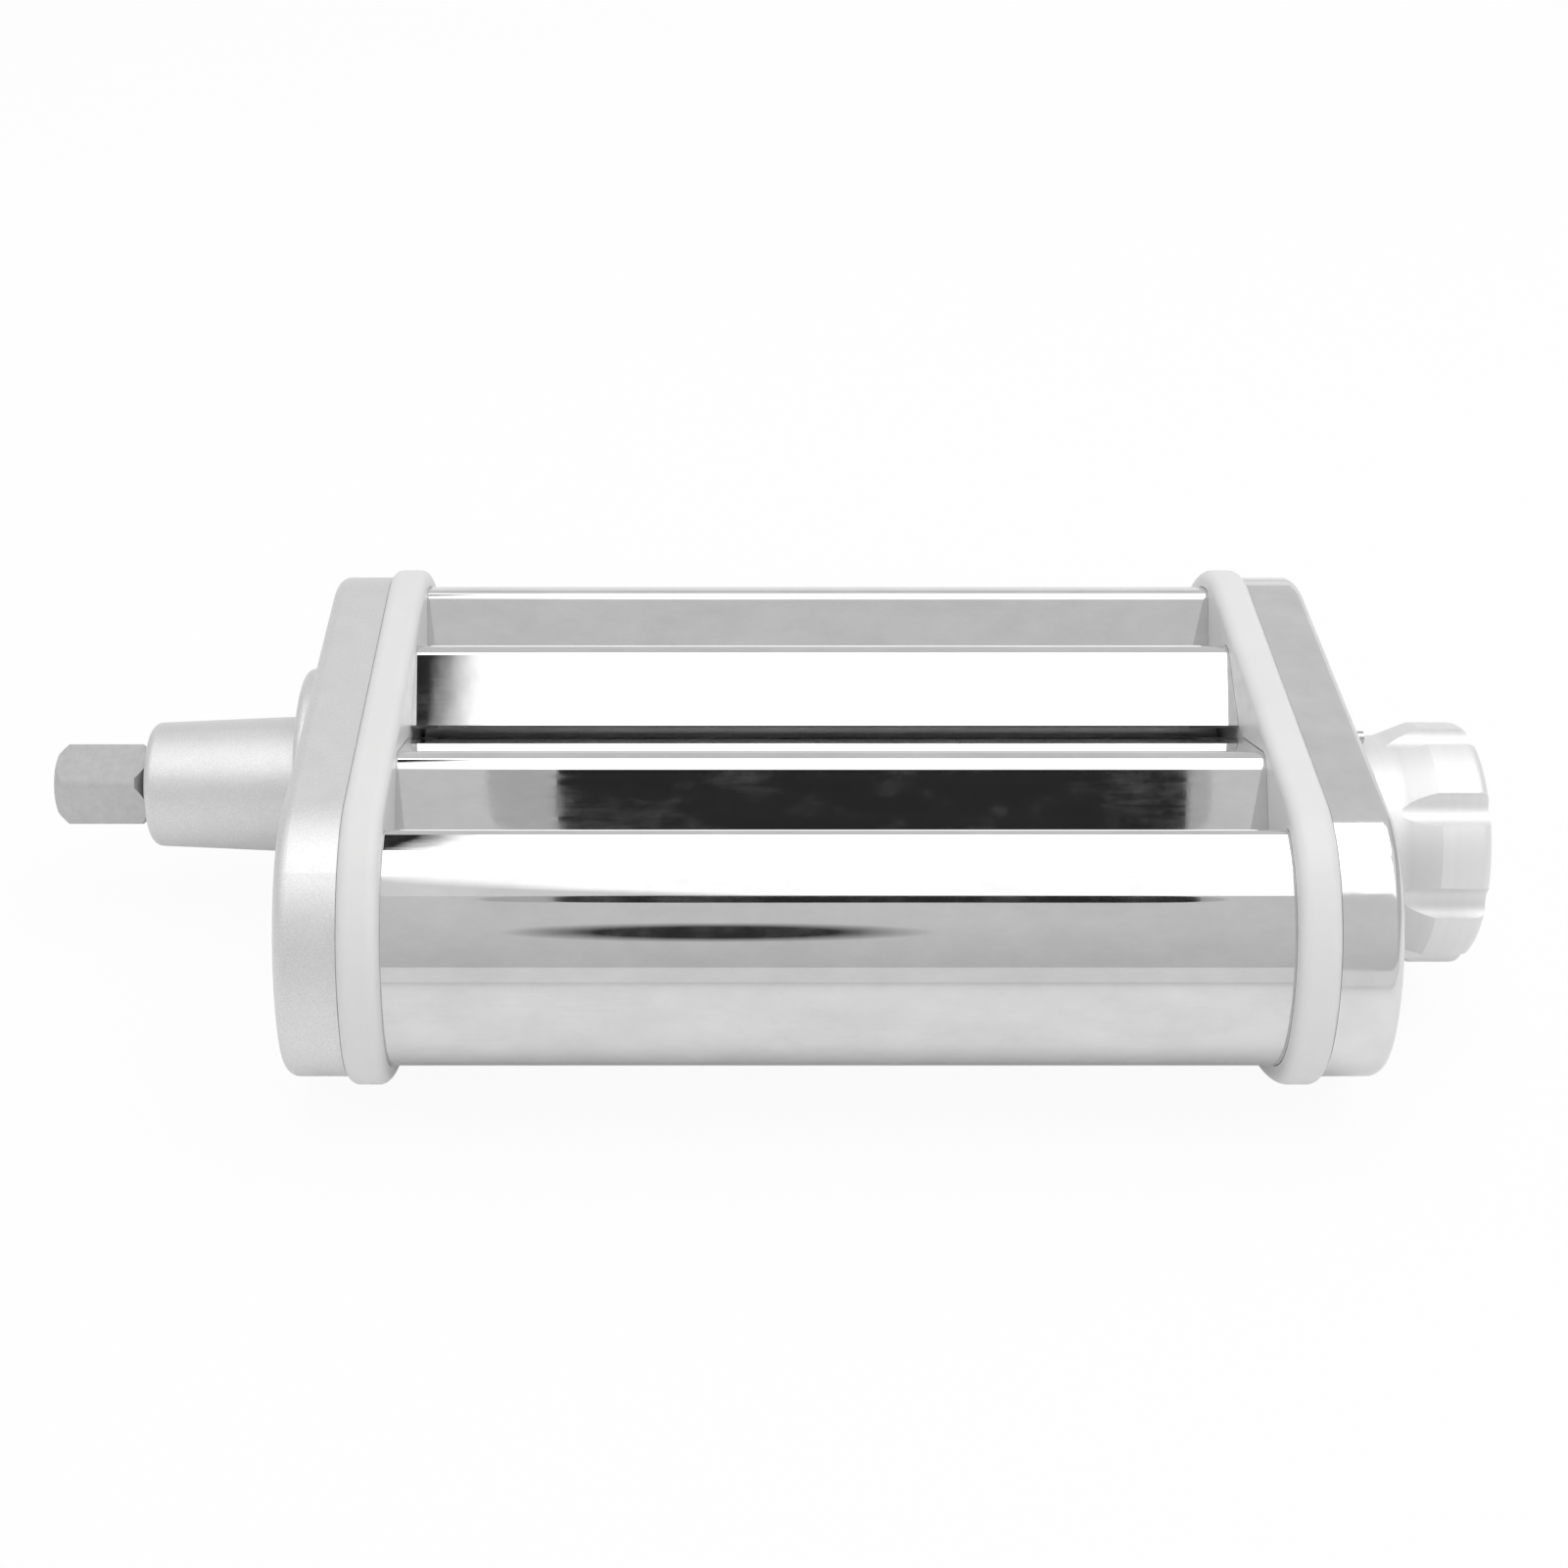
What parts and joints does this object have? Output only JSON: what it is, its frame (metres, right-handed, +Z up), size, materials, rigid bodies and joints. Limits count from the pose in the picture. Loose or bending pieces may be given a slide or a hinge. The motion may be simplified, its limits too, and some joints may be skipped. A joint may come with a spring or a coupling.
{
  "type": "pasta sheet roller attachment",
  "caption": "Powered pasta sheet roller with polished covers, a square drive in a tapered collar, meshed rollers and a pull-and-turn thickness knob.",
  "frame": {"origin": "on the surface it lies on, under the middle of its whole length and depth", "axes": "+X along the rollers from the drive end to the knob, +Y from the front to the back, +Z up"},
  "size_m": [0.2398, 0.1156, 0.0518],
  "materials": {
    "polished_sheet": "polished sheet steel",
    "polished_cap": "polished casting",
    "blasted_aluminium": "fine blasted casting",
    "white_plastic": "smooth off-white moulding",
    "knob_aluminium": "satin turned",
    "milled_steel": "milled grey steel",
    "roller_steel": "fine ground",
    "inner_steel": "plain turned",
    "screw_steel": "bright",
    "bush_plastic": "dark bearing plastic"
  },
  "bodies": {
    "frame": {"left_end_plate": "white_plastic", "right_end_plate": "white_plastic", "left_end_cap": "blasted_aluminium", "right_end_cap": "polished_cap", "front_cover": "polished_sheet", "rear_cover": "polished_sheet", "front_guide": "polished_sheet", "rear_guide": "polished_sheet", "tie_rods": "inner_steel", "left_cap_screws": "screw_steel", "right_cap_screws": "screw_steel", "front_scraper": "white_plastic", "rear_scraper": "white_plastic", "scraper_rods": "inner_steel", "hub_bushes": "bush_plastic", "shaft_bushes": "bush_plastic", "axle_bushes": "bush_plastic", "index_pin": "inner_steel", "setting_pointer": "screw_steel"},
    "drive_train": {"drive_shaft": "milled_steel", "rear_roller": "roller_steel", "rear_roller_plugs": "inner_steel", "roller_pins": "inner_steel", "rear_roller_gear": "inner_steel", "gear_key": "inner_steel", "shaft_clip": "inner_steel", "thrust_washers": "bush_plastic"},
    "setting_axle": {"eccentric_axle": "inner_steel", "knob_screw": "screw_steel", "knob_spring": "screw_steel"},
    "bush_carrier": {"roller_bushes": "bush_plastic"},
    "driven_roller": {"front_roller": "roller_steel", "front_roller_gear": "inner_steel"},
    "setting_knob": {"knob": "knob_aluminium", "knob_end_cap": "knob_aluminium"}
  },
  "joints": [
    {"name": "drive_spin", "type": "hinge", "parent": "frame", "child": "drive_train", "pos_m": [0.01405, 0.0115, 0.02349], "axis": [1, 0, 0], "continuous": true},
    {"name": "thickness_setting", "type": "hinge", "parent": "frame", "child": "setting_axle", "pos_m": [0.01405, -0.0115, 0.02775], "axis": [1, 0, 0], "range_deg": [0, 157.5]},
    {"name": "bush_counter_turn", "type": "hinge", "parent": "setting_axle", "child": "bush_carrier", "pos_m": [0.01405, -0.01275, 0.02798], "axis": [1, 0, 0], "range_deg": [-157.5, 0]},
    {"name": "front_roller_spin", "type": "hinge", "parent": "bush_carrier", "child": "driven_roller", "pos_m": [0.01405, -0.01275, 0.02798], "axis": [1, 0, 0], "continuous": true},
    {"name": "knob_pull", "type": "slide", "parent": "setting_axle", "child": "setting_knob", "axis": [1, 0, 0], "range_m": [0, 0.004], "stiffness_N_per_m": 800, "springref_m": -0.004, "deforming": ["knob_spring"]}
  ],
  "couplings": [
    {"joint": "bush_counter_turn", "follows": "thickness_setting", "ratio": -1},
    {"joint": "front_roller_spin", "follows": "drive_spin", "ratio": -1}
  ]
}
